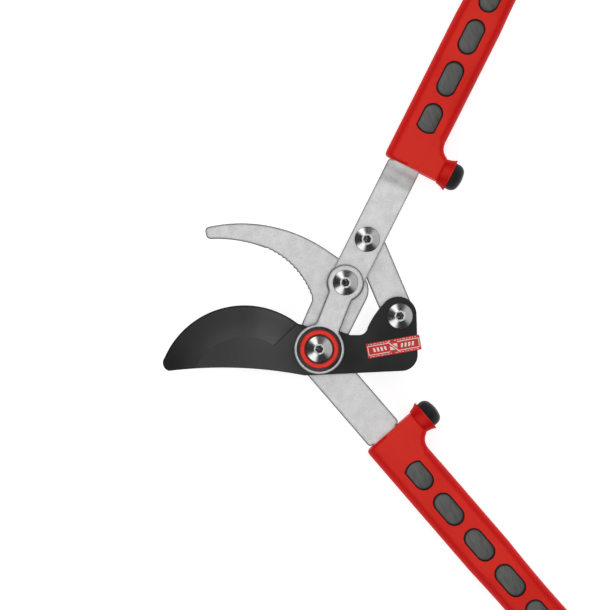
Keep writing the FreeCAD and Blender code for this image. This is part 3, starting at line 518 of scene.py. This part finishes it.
def handle_frame(pivot, degrees, collar, shift, flip):
    """Local X along the handle from the grip's end, local Y towards the other handle."""
    along = Vector((math.cos(math.radians(degrees)), math.sin(math.radians(degrees)), 0))
    left = Vector((-along.y, along.x, 0))
    start = Vector((pivot.x, pivot.y, 0)) + along * collar + left * shift
    return Matrix((
        (along.x, flip * left.x, 0, start.x),
        (along.y, flip * left.y, 0, start.y),
        (0, 0, 1, 0),
        (0, 0, 0, 1),
    ))


HANDLES = {
    "upper": ("upper_handle", handle_frame(HANDLE_PIVOT, UPPER_DEG, UPPER_COLLAR, UPPER_SHIFT, -1)),
    "lower": ("hook_handle", handle_frame(Vector((0, 0, 0)), LOWER_DEG, LOWER_COLLAR, LOWER_SHIFT, 1)),
}


# --- Soft pads in the grips' windows -----------------------------------------------------
def window_loop(start, length, near_bow, far_bow, inset, steps=14):
    """Points round a window: straight sides and bowed ends, each bow an arc of a circle."""
    half = WINDOW_WIDE / 2 - inset
    near, far = start + inset, start + length - inset

    def bow(tip, depth, side):
        radius = (half ** 2 + depth ** 2) / (2 * depth)
        reach = math.asin(half / radius)
        centre = tip - side * radius
        angles = [reach * (2 * i / steps - 1) for i in range(steps + 1)]
        return [(centre + side * radius * math.cos(a), side * radius * math.sin(a)) for a in angles]

    sides = []
    for i in range(1, steps):
        t = i / steps
        sides.append(far - far_bow + (near + near_bow - far + far_bow) * t)
    top = [(x, half) for x in sides]
    bottom = [(x, -half) for x in reversed(sides)]
    return bow(far, far_bow, 1) + top + bow(near, near_bow, -1) + bottom


def make_pad(name, matrix, window, front, body):
    """A shallow dome over one window's core, on one face of the grip."""
    loop = window_loop(*window, PAD_INSET)
    count = len(loop)
    middle = sum(x for x, _ in loop) / count
    face_z, out = (FRONT_OF_GRIP, 1) if front else (BACK_OF_GRIP, -1)
    vertices, faces = [], []

    def point(x, y, sunk):
        vertices.append(matrix @ Vector((x, y, face_z - out * sunk)))

    for ring in range(PAD_RINGS):
        share = 1 - ring / PAD_RINGS
        rise = PAD_RISE * (1 - share ** DOME_POWER)
        for x, y in loop:
            point(middle + (x - middle) * share, y * share, PAD_SUNK - rise)
    tip = len(vertices)
    point(middle, 0, PAD_SUNK - PAD_RISE)
    foot = len(vertices)
    for x, y in loop:
        point(x, y, PAD_SUNK + PAD_FOOT)

    following = [(i, (i + 1) % count) for i in range(count)]
    for low in range(0, tip - count, count):
        high = low + count
        faces += [(low + i, low + j, high + j, high + i) for i, j in following]
    faces += [(tip - count + i, tip - count + j, tip) for i, j in following]
    faces += [(foot + i, foot + j, j, i) for i, j in following]
    faces.append(tuple(reversed(range(foot, foot + count))))
    mesh_piece(name, vertices, faces, MATERIALS["grip_grey"], body)


def make_pads():
    windows = [(FIRST_WINDOW, FIRST_LONG, FLAT_BOW, FAR_BOW)]
    for i in range(MORE_WINDOWS):
        start = FIRST_WINDOW + FIRST_LONG + RIB + i * (WINDOW_LONG + RIB)
        windows.append((start, WINDOW_LONG, NEAR_BOW, FAR_BOW))
    for handle, (body, matrix) in HANDLES.items():
        for number, window in enumerate(windows, 1):
            for side, front in (("front", True), ("back", False)):
                make_pad(f"{handle}_pad_{side}_{number}", matrix, window, front, body)


# --- Turned and moulded details ----------------------------------------------------------
def make_collar(pivot):
    """Nylon locking collar on the rear face of a pivot's nut."""
    node = pivot + "_nut"
    low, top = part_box(node)
    cx, cy, base = (low.x + top.x) / 2, (low.y + top.y) / 2, low.z
    chamfer, ease, lip = 0.4 * COLLAR_HIGH, 0.15 * COLLAR_HIGH, 0.1 * MM
    outside = [(COLLAR_R, 0.0), (COLLAR_R, chamfer - COLLAR_HIGH), (COLLAR_R - chamfer, -COLLAR_HIGH)]
    inside = [(COLLAR_BORE + lip, -COLLAR_HIGH), (COLLAR_BORE, ease - COLLAR_HIGH), (COLLAR_BORE, 0.0)]
    profile = outside + inside
    vertices, faces = [], []
    for i in range(COLLAR_SIDES):
        angle = 2 * math.pi * i / COLLAR_SIDES
        for radius, z in profile:
            vertices.append((cx + radius * math.cos(angle), cy + radius * math.sin(angle), base + z))
    count = len(profile)
    for i in range(COLLAR_SIDES):
        here, after = i * count, (i + 1) % COLLAR_SIDES * count
        for k in range(count):
            n = (k + 1) % count
            faces.append((here + k, here + n, after + n, after + k))
    body = frame["nodes"][node]["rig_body"]
    mesh_piece(node + "_collar", vertices, faces, MATERIALS["nylon_blue"], body)


def side_of_grip(x):
    """Half width of the grip at a distance from its end: straight, then an arc through the waist."""
    if x <= STRAIGHT_TO:
        return SHELL_HALF
    ax, ay = STRAIGHT_TO, SHELL_HALF
    bx, by = WAIST_AT, WAIST_HALF
    cx, cy = FLARE_FROM, FLARE_HALF
    turn = 2 * (ax * (by - cy) + bx * (cy - ay) + cx * (ay - by))
    a, b, c = ax * ax + ay * ay, bx * bx + by * by, cx * cx + cy * cy
    ox = (a * (by - cy) + b * (cy - ay) + c * (ay - by)) / turn
    oy = (a * (cx - bx) + b * (ax - cx) + c * (bx - ax)) / turn
    radius = math.dist((ox, oy), (ax, ay))
    return oy - math.sqrt(radius ** 2 - (x - ox) ** 2)


def make_parting_line(handle, body, matrix, side):
    """Fine ridge where the two halves of the mould met, along one side of a grip."""
    section = ((-RIDGE_SUNK, -RIDGE_HALF), (RIDGE_PROUD, -RIDGE_HALF / 3),
               (RIDGE_PROUD, RIDGE_HALF / 3), (-RIDGE_SUNK, RIDGE_HALF))
    count = len(section)
    first = PART_START[side]
    vertices, faces = [], []
    for i in range(RIDGE_STEPS + 1):
        x = first + (PART_END - first) * i / RIDGE_STEPS
        for out, z in section:
            vertices.append(matrix @ Vector((x, side * (side_of_grip(x) + out), GRIP_MID + z)))
    for here in range(0, RIDGE_STEPS * count, count):
        after = here + count
        for k in range(count):
            n = (k + 1) % count
            faces.append((here + k, after + k, after + n, here + n))
    faces.append(tuple(range(count)))
    faces.append(tuple(reversed(range(RIDGE_STEPS * count, (RIDGE_STEPS + 1) * count))))
    name = f"{handle}_parting_line_{'inner' if side > 0 else 'outer'}"
    mesh_piece(name, vertices, faces, MATERIALS["grip_red"], body)


# --- Label's print -----------------------------------------------------------------------
def make_print():
    """Generic print on the label: a frame, slanted bars, a central mark and rows of dashes."""
    turn = Matrix.Translation(LABEL_CENTRE) @ Matrix.Rotation(math.radians(LABEL_DEG), 4, "Z")
    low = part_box("coating_label")[1].z
    vertices, faces = [], []

    def patch(*corners):
        base = len(vertices)
        for z in (low, low + PRINT_THICK):
            for x, y in corners:
                vertices.append(turn @ Vector((x, y, 0)) + Vector((0, 0, z)))
        count = len(corners)
        faces.append([base + count + i for i in range(count)])
        faces.append([base + i for i in reversed(range(count))])
        for i in range(count):
            j = (i + 1) % count
            faces.append([base + i, base + j, base + count + j, base + count + i])

    def bar(x, y, long, high, slant=0.0):
        half, rise = long / 2, high / 2
        patch((x - half - slant, y - rise), (x + half - slant, y - rise),
              (x + half + slant, y + rise), (x - half + slant, y + rise))

    half_long, half_wide = LABEL_LONG / 2, LABEL_WIDE / 2
    line, gap = 0.45 * MM, 2.6 * MM     # the frame's line, and half its opening round the mark
    frame_x, frame_y = half_long - 0.9 * MM, half_wide - 1.9 * MM
    bar_first, bar_pitch, bar_long, bar_high, bar_slant = (v * MM for v in (5.2, 2.3, 1.25, 2.5, 0.25))
    dashes, most, space, dash_high = (1.35, 0.7, 1.0, 1.6, 0.8), 17, 0.75 * MM, 0.35 * MM
    dash_y, from_left, from_right, clear = half_wide - 0.85 * MM, 1.4 * MM, 2.4 * MM, 1.2 * MM
    for side in (1, -1):
        middle = side * (frame_x + gap) / 2
        bar(middle, side * frame_y, frame_x - gap, line)
        bar(middle, -side * frame_y, frame_x - gap, line)
        bar(side * frame_x, 0, line, 2 * frame_y + line)
        for i in range(4):
            bar(side * (bar_first + bar_pitch * i), 0, bar_long, bar_high, side * bar_slant)
        start = from_left - half_long
        for i in range(most):
            long = dashes[(i + side) % len(dashes)] * MM
            if abs(start + long / 2) > clear:
                bar(start + long / 2, side * dash_y, long, dash_high)
            start += long + space
            if start > half_long - from_right:
                break
    across, stroke, reach = 3.6 * MM, 0.88 * MM, half_wide - 1.2 * MM
    patch((-across, reach), (stroke - across, reach), (across, -reach), (across - stroke, -reach))
    near, far, short, tall = 0.6 * MM, 2.3 * MM, 0.9 * MM, 1.9 * MM
    for side in (1, -1):
        patch((-side * near, side * tall), (side * far, side * tall), (side * far, -side * short))
    mesh_piece("label_print", vertices, faces, ink_white(), "blade", smooth=False)


# --- Camera, floor and light -------------------------------------------------------------
def make_camera():
    data = bpy.data.cameras.new("camera")
    data.lens = LENS
    data.sensor_width = SENSOR
    data.clip_end = VIEW_FAR
    camera = bpy.data.objects.new("camera", data)
    distance = VIEW_WIDE / 2 / (SENSOR / 2 / LENS)
    camera.location = VIEW_CENTRE + Vector((0, 0, distance))
    bpy.context.scene.collection.objects.link(camera)
    bpy.context.scene.camera = camera


def make_floor():
    low = cad_box[0].z - FLOOR_GAP
    corners = [(x * FLOOR_REACH, y * FLOOR_REACH, low) for x, y in ((-1, -1), (1, -1), (1, 1), (-1, 1))]
    floor = mesh_piece("floor", corners, [(0, 1, 2, 3)], pale_floor(), smooth=False)


def make_world():
    """A dark studio: a soft light overhead, a pale wall, three upright banks and one low card."""
    world = bpy.data.worlds.new("studio")
    world.use_nodes = True
    bpy.context.scene.world = world
    tree = world.node_tree

    def node(kind, *inputs, **settings):
        made = tree.nodes.new(kind)
        for key, value in settings.items():
            setattr(made, key, value)
        for socket, value in zip(made.inputs, inputs):
            if isinstance(value, bpy.types.NodeSocket):
                tree.links.new(value, socket)
            else:
                socket.default_value = value
        return made

    def step(value, low, high):
        made = node("ShaderNodeMapRange", value, low, high, 0.0, 1.0, interpolation_type="SMOOTHSTEP")
        return made.outputs["Result"]

    def maths(operation, *inputs):
        return node("ShaderNodeMath", *inputs, operation=operation).outputs[0]

    def cosine(degrees):
        return math.cos(math.radians(degrees))

    def with_lamp(light, lamp, cover):
        """The light with one lamp beside the object added to it, as far as the cover lets it through."""
        azimuth, full, fading, level = lamp
        towards = (math.cos(math.radians(azimuth)), math.sin(math.radians(azimuth)), 0)
        facing = node("ShaderNodeVectorMath", bearing, towards, operation="DOT_PRODUCT").outputs["Value"]
        lit = maths("MULTIPLY", step(facing, cosine(fading), cosine(full)), cover)
        return maths("MULTIPLY_ADD", lit, level, light)

    way = node("ShaderNodeTexCoord").outputs["Generated"]
    split = node("ShaderNodeSeparateXYZ", way)
    height = split.outputs["Z"]
    flat = node("ShaderNodeCombineXYZ", split.outputs["X"], split.outputs["Y"], 0.0)
    bearing = node("ShaderNodeVectorMath", flat.outputs[0], operation="NORMALIZE").outputs[0]
    overhead = step(height, cosine(ZENITH_EDGE[1]), cosine(ZENITH_EDGE[0]))
    wall = step(height, cosine(WALL_EDGE[0]), cosine(WALL_EDGE[1]))
    past_wall = maths("SUBTRACT", 1.0, wall)
    between = maths("MULTIPLY", past_wall, maths("SUBTRACT", 1.0, overhead))
    below_card_top = maths("MULTIPLY", step(height, cosine(CARD_EDGE[0]), cosine(CARD_EDGE[1])), past_wall)
    light = maths("MULTIPLY_ADD", overhead, ZENITH, DARK)
    light = maths("MULTIPLY_ADD", wall, WALL, light)
    for bank in BANKS:
        light = with_lamp(light, bank, between)
    light = with_lamp(light, CARD, below_card_top)
    room = tree.nodes["Background"]
    tree.links.new(light, room.inputs["Strength"])
    room.inputs["Color"].default_value = (1, 1, 1, 1)
    plain = node("ShaderNodeBackground", grey(BACKDROP))
    path = node("ShaderNodeLightPath").outputs["Is Camera Ray"]
    mix = node("ShaderNodeMixShader", path, room.outputs[0], plain.outputs[0])
    tree.links.new(mix.outputs[0], tree.nodes["World Output"].inputs["Surface"])


make_camera()
make_floor()
make_world()
bpy.context.scene.view_settings.view_transform = "Standard"
dress_cad_nodes()
make_pads()
make_print()
for handle, (body, matrix) in HANDLES.items():
    for side in (1, -1):
        make_parting_line(handle, body, matrix, side)
for pivot in ("handle", "link_top", "link_bottom"):
    make_collar(pivot)
